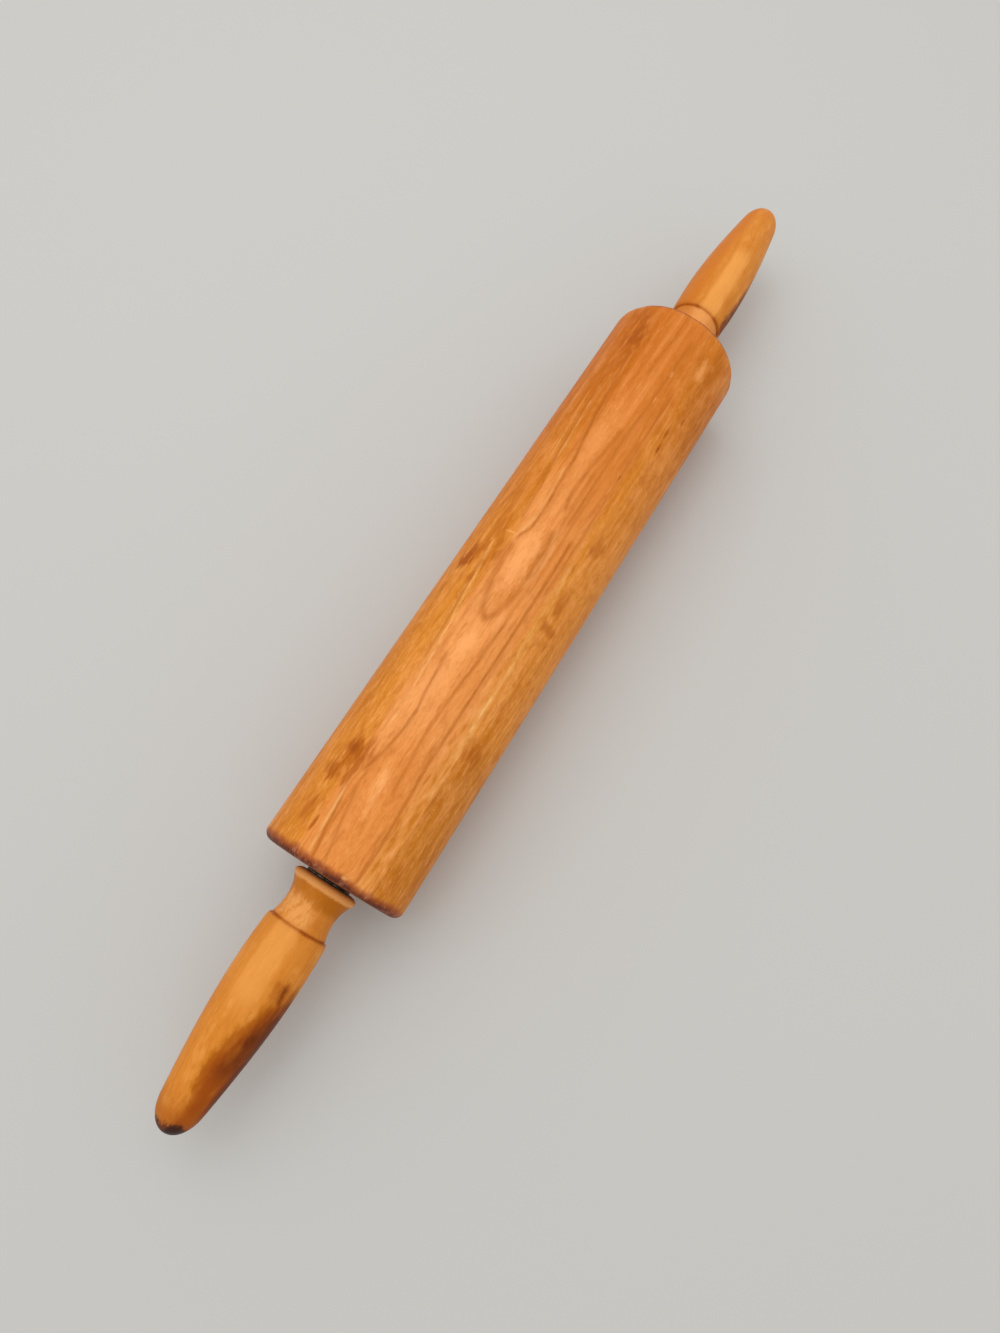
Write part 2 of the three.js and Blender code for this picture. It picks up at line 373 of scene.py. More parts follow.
pith_side = along * PITH_DRIFT - PITH_BELOW * math.sin(math.radians(PITH_TURN))
pith_up = -PITH_BELOW * math.cos(math.radians(PITH_TURN))
rings = (distance(side - pith_side, up - pith_up) + along * RING_LEAN + sway * RING_SWAY) / RING_GAP
ring_tone = rings.node("TexWhiteNoise", {"noise_dimensions": "1D"}, {"W": rings.maths("FLOOR", rings)})
late_wood = late_growth(rings, LATE_WOOD_START)

# The crown along the top is the paler, pinker wood, and its middle stretch is painted paler still, partly as
# painted highlight. Both flanks are ochre. The side towards the camera is browner below a ring that runs
# the whole length, and the wood reddens towards the far end. Each pair of turns or of places along the
# barrel is where such a zone starts and ends.
CROWN_TURNS = (-15, 26)
PALE_CROWN_ALONG = (-72, 25)
BROWN_SIDE_TURNS = (42, 118)
BROWN_SIDE_GAP = (-60, 75)
PALE_SIDE_ALONG = (-45, 60)
RED_END_ALONG = (15, 110)
RED_BACK_TURNS = (-120, -48)
RED_FLANK_TURNS = (-14, -30)
RED_FLANK_ALONG = (-25, 40)
RED_STRIP_TURNS = (12, 25)
RED_STRIP_ALONG = (28, 126)
GOLDEN_TURNS = (29, 41)
GOLDEN_ALONG = (-15, -60)
NEAR_HALF_ALONG = (60, -60)
ragged_turn = turn + sway * 14 + fibres * 7
crown = band(ragged_turn, *CROWN_TURNS, 9)
flanks = 1 - crown
colour = paint(OCHRE, HEART, crown)
# Painted highlight, partly: the middle stretch of the crown is painted paler, for the sheen and the stronger
# light on the top, over paler wood.
pale_lit_crown = crown * band(along + broad * 60, *PALE_CROWN_ALONG, 25)
colour = paint(colour, PALE_HEART, pale_lit_crown * (0.3 + broad * 1.6))
ring_turn = turn + sway * 3 + fibres * 3
browner = band(ring_turn, *BROWN_SIDE_TURNS, 1.2)
drifting = along + broad * 40
colour = paint(colour, SIDE_OCHRE, browner * (0.9 - band(drifting, *BROWN_SIDE_GAP, 22) * 0.9))
red_end = rise(drifting, *RED_END_ALONG) * (0.54 + rise(turn, 8, -25) * 0.42)
colour = paint(colour, RED_AMBER, red_end)
colour = paint(colour, RED_AMBER, band(turn + mottle * 20, *RED_BACK_TURNS, 8) * 0.2)
red_flank = rise(ragged_turn, *RED_FLANK_TURNS) * rise(along, *RED_FLANK_ALONG)
colour = paint(colour, RED_AMBER, red_flank * 0.34)
colour = paint(colour, PALE_HEART, browner * band(drifting, *PALE_SIDE_ALONG, 20) * 0.14)
colour = paint(colour, PALE_HEART, rise(mottle + broad, -0.02, -0.24) * flanks * 0.22)
colour = paint(colour, RING_BROWN, ring_tone * flanks * 0.08)
colour = paint(colour, RING_BROWN, late_wood * (0.06 + flanks * (0.03 + ring_tone * 0.12)))
colour = paint(colour, PALE_HEART, rise(streaks, 0.0, 0.2) * (0.26 + broad * 0.7))
colour = paint(colour, RING_BROWN, rise(streaks, 0.0, -0.2) * (0.26 + broad * 0.7))
colour = paint(colour, PALE_FIBRE, rise(fibres, 0.04, 0.22) * 0.16)
colour = paint(colour, RING_BROWN, rise(fibres, -0.03, -0.22) * 0.2)
colour = paint(colour, RING_BROWN, rise(fine_fibres, 0.0, -0.2) * 0.14)
colour = paint(colour, PALE_HEART, rise(smudges, 0.0, 0.18) * browner * 0.12)
colour = paint(colour, OIL_BROWN, rise(smudges, 0.0, -0.18) * browner * 0.16)
colour = paint(colour, OIL_BROWN, rise(mottle, 0.03, 0.16) * (0.12 + flanks * 0.14))
colour = paint(colour, OIL_BROWN, rise(grit, 0.04, 0.18) * (0.1 + flanks * 0.1))
colour = paint(colour, OIL_BROWN, pores * (0.1 + flanks * 0.18))
near_half = rise(along, *NEAR_HALF_ALONG)
colour = paint(colour, PALE_FIBRE, rise(flecks, 0.03, 0.17) * (0.1 + near_half * 0.12))
colour = paint(colour, RING_BROWN, rise(flecks, -0.03, -0.17) * (0.14 + near_half * 0.12))
colour = paint(colour, PALE_FIBRE, rise(grit, -0.06, -0.2) * (0.08 + near_half * 0.12))
# A golden band along the side towards the camera, partly paler wood and partly painted highlight.
golden = band(ring_turn, *GOLDEN_TURNS, 1.5) * rise(along, *GOLDEN_ALONG)
colour = paint(colour, PALE_HEART, golden * (0.28 + flecks * 1.5))
red_strip = band(turn + flecks * 12, *RED_STRIP_TURNS, 4) * band(along, *RED_STRIP_ALONG, 12)
colour = paint(colour, RED_AMBER, red_strip * 0.24)

# Paler places, the largest of them inside the flame: along, turn, half length, half width, strength.
PALE_PLACES = [
    (-2, -1, 20, 5, 0.85),
    (-42, 1, 8, 3, 0.7),
    (-60, -4, 18, 5, 0.7),
    (-97, 5, 7, 2.4, 0.7),
    (6, 15, 14, 1.8, 0.7),
    (58, -4, 22, 4.5, 0.35),
    (-37, 2, 7, 3.4, 0.7),
    (-24, 11.5, 7, 1.4, 0.7),
    (-103, 6, 9, 2.2, 0.7),
    (88, 18.5, 2.6, 0.7, 0.7),
    (102, 18, 1.6, 0.8, 0.5),
    # A painted highlight: a glint on the far shoulder, on the side towards the camera.
    (114, 38, 6, 2.4, 0.5),
]
ragged = mottle * 1.4 + flecks * 2.2 + grit * 0.8
for pale_along, pale_turn, length, width, strength in PALE_PLACES:
    pale = spot(along, around, (pale_along, pale_turn * mm_per_degree), (length, width), ragged)
    colour = paint(colour, PALE_HEART, pale * strength)

# Ring edges that show as thin dark lines on the crown: half width, strength, then points of (along, turn).
# Two of them close in the tongue of a flame figure, and the first ones bend round the knot.
GRAIN_LINES = [
    (0.55, 0.75, [(-131, -6), (-120, -9.5), (-110, -12.6), (-103, -16), (-96, -17.4), (-86, -15)]),
    (0.5, 0.5, [(-130, 3), (-120, -1), (-113, -4.2), (-103, -7)]),
    (0.5, 0.6, [(-97, -10), (-90, -6.4), (-84, -4.2), (-77, -2.8), (-70, -2.2), (-64, -4.4), (-46, -7.2)]),
    (0.5, 0.55, [(-99, 15.4), (-88, 13.6), (-80, 12.5), (-71, 12), (-58, 12.6), (-45, 14.4), (-26, 16)]),
    (0.55, 0.7, [(-130, 27.8), (-112, 28.3), (-98, 26.4), (-86, 25), (-45, 25), (-12, 25.4), (16, 24.8)]),
    (1.1, 0.6, [(-29, 1.5), (-25, -3.6), (-20, -7), (-13, -10), (-7, -12), (4, -13.4)]),
    (1.1, 0.6, [(-29, 1.5), (-25, 6.3), (-20, 9), (-13, 11), (-5, 11.5), (3, 11), (15, 8.6)]),
    (
        0.6,
        0.75,
        [(6, -12), (13, -6.8), (22, -6.2), (34, -8.2), (47, -9.4), (62, -13.2), (80, -17.5), (105, -21.7)],
    ),
    (0.7, 0.65, [(25, 7.2), (31, 4.9), (38, 4.8), (46, 5.4), (54, 7.6), (68, 9.6)]),
    (0.55, 0.5, [(20, 15.6), (45, 14.9), (60, 15), (72, 15.6), (84, 16.8), (97, 17.2), (120, 18.7)]),
    (0.5, 0.5, [(-8, 29.2), (18, 29.4), (40, 29), (70, 28.6), (94, 28)]),
    (0.55, 0.45, [(-6, 13.8), (8, 13.4), (20, 11.6), (32, 10.4), (46, 10.6)]),
    (0.5, 0.4, [(-12, 19), (6, 18.6), (22, 18.2), (40, 18)]),
    (0.45, 0.5, [(96, 1.8), (108, 2.8), (118, 4.7), (131, 3.6)]),
    (0.5, 0.5, [(-52, -20.5), (-40, -22.5), (-28, -23.8), (-14, -26.2), (-2, -28.5)]),
    (0.5, 0.5, [(14, -18.5), (30, -19.5), (46, -24.6), (60, -26), (72, -27.5), (92, -30)]),
]
LINE_SPREAD = 2.2
HALO_SPREAD = 7
wobble = mottle * 0.9 + grit * 0.7
for half_width, strength, points in GRAIN_LINES:
    spreads = (half_width * LINE_SPREAD, half_width * HALO_SPREAD)
    line, halo = strokes(along, turn, mm_per_degree, points, wobble, *spreads)
    colour = paint(colour, RING_BROWN, (line * (0.66 + flecks * 1.6) + halo * 0.2) * strength)

# Pale scratches through the varnish, given in the same way. Each is broken along its length. The fourth and
# the fifth, along the side towards the camera at turns of 36 to 39 degrees, are partly painted highlight.
SCRATCH_AND_HIGHLIGHT_LINES = [
    (1.1, 0.9, [(-131, -10.4), (-121, -11.8), (-112, -13), (-104, -15)]),
    (1.1, 0.8, [(-80, -13.4), (-66, -14.4), (-46, -16.4), (-30, -20.5), (-14, -24.5), (2, -29)]),
    (0.9, 0.4, [(-66, -20), (-45, -22.5), (-28, -25), (-10, -27.5), (6, -30)]),
    (2.2, 0.55, [(-94, 39.4), (-70, 39), (-52, 37.6), (-35, 38.2), (-16, 37), (8, 36)]),
    (1.1, 1.3, [(-66, 38), (-54, 37.8), (-45, 38), (-28, 37.6)]),
    (1.0, 0.6, [(6, -15), (10, -11.6), (15, -9.3), (24, -8.8), (42, -12)]),
    (1.2, 0.4, [(-106, 7), (-98, 5.5), (-93, 2.5)]),
    (1.0, 0.4, [(-10, 13), (0, 13.6), (18, 12)]),
    (0.9, 0.45, [(40, -22), (62, -24.4), (84, -28)]),
    (0.8, 0.4, [(44, -28), (60, -31), (80, -34)]),
]
breaks = rise(cloud(along, side, up, (6, 2, 2), 2.0), -0.08, 0.1)
scratched_and_lit = breaks * 0
for half_width, strength, points in SCRATCH_AND_HIGHLIGHT_LINES:
    line, = strokes(along, turn, mm_per_degree, points, wobble * 0.6, half_width)
    scratched_and_lit = scratched_and_lit.maths("MAXIMUM", scratched_and_lit, line * (0.3 + breaks * 0.6) * strength)
# The pale scratches, with the painted highlight streaks among them.
colour = paint(colour, SCRATCH_AND_HIGHLIGHT_PALE, scratched_and_lit * 0.6)

# Oil patches, the wood round the knot and small dark flecks: along, turn, half length, half width,
# strength.
DARK_MARKS = [
    (-92.5, -27, 6, 4.5, 0.6),
    (-96, -23, 11, 6, 0.5),
    (-94, -12, 6, 4, 0.3),
    (-101, -33, 4, 4.5, 0.5),
    (-102, -30, 5.5, 1.4, 0.5),
    (-117, -31, 7, 4, 0.45),
    (-121, -19.5, 3.2, 0.7, 0.6),
    (-71, -2, 1.5, 0.7, 0.25),
    (-98, 45.5, 2.8, 0.9, 0.65),
    (-72, 52, 7, 6, 0.45),
    (-8, -43, 6, 4, 1.0),
    (-5, -36, 9, 4, 0.5),
    (-16, -28, 4.5, 1.8, 0.45),
    (-4, -20, 7, 2.8, 0.4),
    (8, -30, 7, 4, 0.35),
    (24, -37, 10, 4.5, 0.2),
    (-17, 48, 3, 6, 0.4),
    (-7, 45, 6, 3.4, 0.4),
    (22, 46, 8, 4, 0.4),
    (73, 43, 3.6, 1.0, 0.8),
    (80, 42.3, 4.4, 0.9, 0.8),
    (90, 50, 2.2, 1, 0.5),
    (50.5, 28.5, 1.6, 0.6, 0.6),
    (112, -26, 9, 4.5, 0.85),
    (108, -27, 18, 7, 0.35),
    (124, -33, 8, 5, 0.4),
    (60, 150, 22, 9, 0.45),
    (-40, -120, 18, 8, 0.45),
    (30, 105, 14, 5, 0.4),
    (-92, 172, 14, 6, 0.4),
    (94, -148, 16, 6, 0.45),
]
MARK_STRENGTH = 1.3
KNOT = (-92, -27)
CROSS_SCRATCH = (7.5, -19)
for mark_along, mark_turn, length, width, strength in DARK_MARKS:
    mark = spot(along, around, (mark_along, mark_turn * mm_per_degree), (length, width), ragged)
    colour = paint(colour, OIL_BROWN, mark * (strength * MARK_STRENGTH))
cross_place = (CROSS_SCRATCH[0], CROSS_SCRATCH[1] * mm_per_degree)
cross_scratch = spot(along, around, cross_place, (0.6, 3), grit * 0.6)
colour = paint(colour, PALE_FIBRE, cross_scratch * 0.5)
knot = spot(along, around, (KNOT[0], KNOT[1] * mm_per_degree), (2.6, 2.2), grit * 0.8)
colour = paint(colour, KNOT_BROWN, knot * 0.5)

# The near rim is knocked dark and scuffed, the far one is only reddened, and the end grain is brown.
rim_wave = cloud(along, side, up, (7, 6, 6), 4.0) * 3.4 + grit * 1.2
near_red = rise(along + rim_wave, 4.6 - barrel_end, 2.0 - barrel_end)
near_dark = rise(along + rim_wave, 2.4 - barrel_end, 0.6 - barrel_end)
far_rim = rise(along + rim_wave * 0.6, barrel_end - 3.4, barrel_end - 1.4)
end_face = rise(abs(along), barrel_end - 0.4, barrel_end - 0.1)
colour = paint(colour, RIM_RED, near_red * 0.8)
colour = paint(colour, RIM_PURPLE, near_dark * 0.85)
colour = paint(colour, RIM_PINK, near_red * rise(mottle + grit * 0.5, 0.02, 0.26) * 0.4)
colour = paint(colour, RIM_RED, far_rim * (0.6 + mottle * 1.4))
colour = paint(colour, END_BROWN, end_face * 0.8)
colour = paint(colour, RIM_PURPLE, end_face * late_wood * 0.5)
nick = spot(along, around, (PALE_NICK[0], PALE_NICK[1] * mm_per_degree), (0.9, 1.4), grit * 0.6)
colour = paint(colour, PALE_FIBRE, nick * 0.55)

dress(
    barrel_wood,
    Base_Color=colour,
    Roughness=0.44 + fibres * 0.2 + mottle * 0.16 + scratched_and_lit * 0.15 + end_face * 0.2,
    height=(fine_fibres + fibres) * 0.022 + grit * 0.012 - pores * 0.04 - scratched_and_lit * 0.04,
    Specular_IOR_Level=0.09,
)
clothe(barrel, barrel_wood, "barrel", "barrel_wood", "barrel")


# Bearing cups: the outer races, turned from bearing steel and pressed into the barrel's ends, each with a
# thin flange let in flush with the end grain and a groove inside for the balls. Old oil has darkened them,
# and the dark is laid on thick as painted shade for the gap behind each collar, where they show.
SIDES = {"left": -1, "right": 1}
STEEL_STEPS_AROUND = 96
RACE_STEPS = 12
cup_low, cup_high = (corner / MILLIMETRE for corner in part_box("right_bearing_cup"))
ball_low, ball_high = (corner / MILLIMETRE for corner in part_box("right_ball_01"))
ball_middle = (ball_low + ball_high) / 2
ball_radius = (ball_high.x - ball_low.x) / 2
ball_circle = math.hypot(ball_middle.y, ball_middle.z - axle_height)
FLANGE_WIDTH = 0.9
FLANGE_THICKNESS = 0.8
FLANGE_BEVEL = 0.15
RACE_LAND = 1
RACE_CLEARANCE = 0.2
race_radius = ball_radius + RACE_CLEARANCE
race_half_angle = math.degrees(math.acos(RACE_LAND / race_radius))
flange_radius = (cup_high.z - cup_low.z) / 2
cup_outline = [
    (cup_low.x, ball_circle + RACE_LAND),
    (cup_low.x, flange_radius - FLANGE_WIDTH),
    (cup_high.x - FLANGE_THICKNESS, flange_radius - FLANGE_WIDTH),
    (cup_high.x - FLANGE_THICKNESS, flange_radius),
    (cup_high.x - FLANGE_BEVEL, flange_radius),
    (cup_high.x, flange_radius - FLANGE_BEVEL),
    (cup_high.x, ball_circle + RACE_LAND),
    *arc(ball_middle.x, ball_circle, race_radius, race_half_angle, -race_half_angle, RACE_STEPS),
    (cup_low.x, ball_circle + RACE_LAND),
]


# The dark oil and the dark bearing grey are partly painted shade, for the gap behind each collar where the
# steel shows.
DARK_OIL_AND_SHADE = (0.022, 0.014, 0.01, 1)
BEARING_GREY = (0.24, 0.22, 0.20, 1)


def turned_steel(name, tone):
    """Dull steel with faint rings from the lathe, smudged all over with dark oil, which also stands for
    painted shade in the gap behind each collar.
    """
    material, along, side, up, _ = new_finish(name)
    radius = distance(side, up)
    lathe_rings = cloud(along, radius, radius, (0.3, 0.3, 0.3), 2.0)
    smudges = cloud(along, side, up, (3.5, 2.5, 2.5), 4.0)
    oiled_and_shaded = rise(smudges, -0.24, 0.08)
    dress(
        material,
        Base_Color=paint(tone, DARK_OIL_AND_SHADE, oiled_and_shaded * 0.95),
        Metallic=0.95 - oiled_and_shaded * 0.6,
        Roughness=0.52 + smudges * 0.3,
        height=lathe_rings * 0.004 + smudges * 0.01,
    )
    return material


def turn_pair(name, outline, material, body, slot, node):
    """Turns a piece for both ends of the barrel, from the outline of the right one."""
    for side_name, direction in SIDES.items():
        placed = [(direction * along, radius) for along, radius in outline]
        piece = turn_on_lathe(f"{side_name}_{name}", placed, STEEL_STEPS_AROUND)
        clothe(piece, material, body, slot, f"{side_name}_{node}")


bearing_steel = turned_steel("bearing steel", BEARING_GREY)
turn_pair("cup_turned", cup_outline, bearing_steel, "barrel", "bearing_steel", "bearing_cup")


# Balls: ten loose balls of hardened steel in each bearing, ground and polished. They roll between the groove
# of the cup and the groove of the cone, packed with grease that has yellowed with age.
POLISHED_STEEL = (0.72, 0.72, 0.71, 1)
OLD_GREASE = (0.34, 0.25, 0.12, 1)
BALL_SMOOTHNESS = 4
ball_steel, along, side, up, _ = new_finish("ball steel")
grease = rise(cloud(along, side, up, (1.6, 1.2, 1.2), 4.0), 0.0, 0.2)
dress(
    ball_steel,
    Base_Color=paint(POLISHED_STEEL, OLD_GREASE, grease * 0.7),
    Metallic=1.0,
    Roughness=0.1 + grease * 0.3,
    height=cloud(along, side, up, (0.5, 0.1, 0.1), 2.0) * 0.003,
)
for node in sorted(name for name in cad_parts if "_ball_" in name):
    low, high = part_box(node)
    shape = bmesh.new()
    bmesh.ops.create_icosphere(shape, subdivisions=BALL_SMOOTHNESS, radius=ball_radius * MILLIMETRE)
    bmesh.ops.translate(shape, verts=shape.verts, vec=(low + high) / 2)
    ball = finish_mesh(node + "_ground", shape)
    clothe(ball, ball_steel, node.split("_")[0] + "_balls", "ball_steel", node)


# Bearing cones: the inner races, which slip on the axle. The nose of each stands out of its cup and meets
# the thrust washer when the barrel has drifted to the end of its float.
cone_low, cone_high = (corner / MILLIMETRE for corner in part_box("right_bearing_cone"))
CONE_BORE = 4.15
CONE_BEVEL = 0.15
cone_land = ball_circle - RACE_LAND
cone_race_angles = (180 + race_half_angle, 180 - race_half_angle)
cone_outline = [
    (cone_low.x, CONE_BORE),
    (cone_low.x, cone_land),
    *arc(ball_middle.x, ball_circle, race_radius, *cone_race_angles, RACE_STEPS),
    (cone_high.x - CONE_BEVEL, cone_land),
    (cone_high.x, cone_land - CONE_BEVEL),
    (cone_high.x, CONE_BORE),
    (cone_low.x, CONE_BORE),
]
turn_pair("cone_turned", cone_outline, bearing_steel, "bearing_cones", "bearing_steel", "bearing_cone")


# Axle: a drawn steel rod right through the barrel, with chamfered ends and a groove near each end that holds
# the glue inside the handle. Only a sliver of it shows, in the gap behind each collar.
axle_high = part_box("axle_rod")[1] / MILLIMETRE
AXLE_RADIUS = 3.97
AXLE_CHAMFER = 0.6
AXLE_STEPS_AROUND = 64
AXLE_GREY = (0.27, 0.25, 0.23, 1)
GLUE_GROOVE_DEPTH = 0.4
GLUE_GROOVE_WIDTH = 1.6
GLUE_GROOVE_FROM_END = 8
groove_outer = axle_high.x - GLUE_GROOVE_FROM_END
groove_inner = groove_outer - GLUE_GROOVE_WIDTH
groove_radius = AXLE_RADIUS - GLUE_GROOVE_DEPTH
half_axle = [
    (groove_inner, AXLE_RADIUS),
    (groove_inner, groove_radius),
    (groove_outer, groove_radius),
    (groove_outer, AXLE_RADIUS),
    (axle_high.x - AXLE_CHAMFER, AXLE_RADIUS),
    (axle_high.x, AXLE_RADIUS - AXLE_CHAMFER),
    (axle_high.x, 0),
]
axle_outline = [(-along, radius) for along, radius in reversed(half_axle)] + half_axle
axle = turn_on_lathe("axle_drawn", axle_outline, AXLE_STEPS_AROUND)
axle_steel = turned_steel("axle steel", AXLE_GREY)
clothe(axle, axle_steel, "axle", "axle_steel", "axle_rod")


# Thrust washers: thin steel discs, stamped with rounded edges and slipped on the axle against each collar.
# They take the push of the barrel at the end of its float and keep the cones off the wood.
washer_low, washer_high = (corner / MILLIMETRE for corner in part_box("right_thrust_washer"))
washer_radius = (washer_high.z - washer_low.z) / 2
STAMPED_EDGE = 0.25
STAMPED_STEPS = 4
washer_outline = [
    (washer_low.x, CONE_BORE),
    *arc(washer_low.x + STAMPED_EDGE, washer_radius - STAMPED_EDGE, STAMPED_EDGE, -90, 0, STAMPED_STEPS),
    *arc(washer_high.x - STAMPED_EDGE, washer_radius - STAMPED_EDGE, STAMPED_EDGE, 0, 90, STAMPED_STEPS),
    (washer_high.x, CONE_BORE),
    (washer_low.x, CONE_BORE),
]
turn_pair("washer_stamped", washer_outline, axle_steel, "axle", "axle_steel", "thrust_washer")


# Handles: turned from the same hardwood, each with a round-fronted collar, a hollow neck, an incised line
# and a long grip with a round tip. A blind bore takes the axle, which is glued in. The left one, nearest
# the camera, is stained dark along its lower side and at its tip, and the right one has a dark streak.
handle_low, handle_high = (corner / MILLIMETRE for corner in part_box("right_handle"))
handle_length = handle_high.x - handle_low.x
HANDLE_STEPS_AROUND = 128
HANDLE_BORE = 4.1
HANDLE_BORE_DEPTH = 56
FACE_RADIUS = 9.8
COLLAR_FRONT = 1.7
COLLAR_RADIUS = 12.65
COLLAR_FRONT_STEPS = 8
COLLAR_RIM = 0.8
RIM_BEVEL = 0.25
RIM_STEPS = 4
NECK_START = 12.4
NECK_RADIUS = 9.85
NECK_END = 10.95
NECK_LENGTH = 15.2
NECK_PULL = 0.3
NECK_STEPS = 22
LINE_WIDTH = 0.6
LINE_DEPTH = 0.3
LINE_FLOOR = (0.4, 0.6)
SHOULDER_RADIUS = 11.45
SHOULDER_LENGTH = 3.2
SHOULDER_PULL = 0.2
SHOULDER_STEPS = 10
GRIP_START = 12.25
GRIP_RADIUS = 12.6
GRIP_SWELL = 13
GRIP_STEPS = 10
TAPER_START_PULL = 0.35
TAPER_END_PULL = 0.33
TAPER_STEPS = 30
TIP_RADIUS = 8.35
TIP_LENGTH = 9.75
TIP_SLOPE = 0.14
TIP_PULL = 0.53
TIP_BLUNTNESS = 0.55
TIP_STEPS = 20


def curve(steps, *pulls):
    """Points of a Bezier curve from its first pull to its last, as (along, radius)."""
    points = []
    for t in np.linspace(0, 1, steps + 1):
        level = [np.array(pull, float) for pull in pulls]
        while len(level) > 1:
            level = [a * (1 - t) + b * t for a, b in zip(level, level[1:])]
        points.append((float(level[0][0]), float(level[0][1])))
    return points


rim_end = COLLAR_FRONT + COLLAR_RIM
neck_end = rim_end + NECK_LENGTH
line_end = neck_end + LINE_WIDTH
grip_start = line_end + SHOULDER_LENGTH
grip_widest = grip_start + GRIP_SWELL
tip_start = handle_length - TIP_LENGTH
taper = tip_start - grip_widest
taper_end_pull = taper * TAPER_END_PULL
# The pull that brings the neck's curve to NECK_RADIUS at its middle.
neck_pull_radius = (8 * NECK_RADIUS - NECK_START - NECK_END) / 6
tip_pull = TIP_LENGTH * TIP_PULL
front_angles = np.radians(np.linspace(0, 90, COLLAR_FRONT_STEPS + 1))
collar_front = [
    (COLLAR_FRONT * (1 - math.cos(a)), FACE_RADIUS + (COLLAR_RADIUS - FACE_RADIUS) * math.sin(a))
    for a in front_angles
]
handle_outline = [
    (HANDLE_BORE_DEPTH, 0),
    (HANDLE_BORE_DEPTH, HANDLE_BORE),
    (0, HANDLE_BORE),
    *collar_front,
    *arc(rim_end - RIM_BEVEL, COLLAR_RADIUS - RIM_BEVEL, RIM_BEVEL, 0, 90, RIM_STEPS),
    *curve(
        NECK_STEPS,
        (rim_end, NECK_START),
        (rim_end + NECK_LENGTH * NECK_PULL, neck_pull_radius),
        (neck_end - NECK_LENGTH * NECK_PULL, neck_pull_radius),
        (neck_end, NECK_END),
    )[1:],
    *((neck_end + LINE_WIDTH * share, NECK_END - LINE_DEPTH) for share in LINE_FLOOR),
    *curve(
        SHOULDER_STEPS,
        (line_end, SHOULDER_RADIUS),
        (line_end + SHOULDER_LENGTH * SHOULDER_PULL, GRIP_START),
        (grip_start, GRIP_START),
    ),
    *curve(
        GRIP_STEPS,
        (grip_start, GRIP_START),
        (grip_start + GRIP_SWELL / 2, GRIP_RADIUS),
        (grip_widest, GRIP_RADIUS),
    )[1:],
    *curve(
        TAPER_STEPS,
        (grip_widest, GRIP_RADIUS),
        (grip_widest + taper * TAPER_START_PULL, GRIP_RADIUS),
        (tip_start - taper_end_pull, TIP_RADIUS + TIP_SLOPE * taper_end_pull),
        (tip_start, TIP_RADIUS),
    )[1:],
    *curve(
        TIP_STEPS,
        (tip_start, TIP_RADIUS),
        (tip_start + tip_pull, TIP_RADIUS - TIP_SLOPE * tip_pull),
        (handle_length, TIP_RADIUS * TIP_BLUNTNESS),
        (handle_length, 0),
    )[1:],
]

HANDLE_AMBER = (0.70, 0.242, 0.028, 1)
HANDLE_PALE = (0.94, 0.41, 0.095, 1)
HANDLE_RED = (0.60, 0.158, 0.008, 1)
NECK_BROWN = (0.47, 0.13, 0.0, 1)
LINE_BROWN = (0.40, 0.085, 0.004, 1)
HANDLE_RING_GAP = 1.5
HANDLE_RING_SWAY = 2
HANDLE_RING_LEAN = 0.012
HANDLE_LATE_WOOD_START = 0.5
SEED_SHIFT = 1000


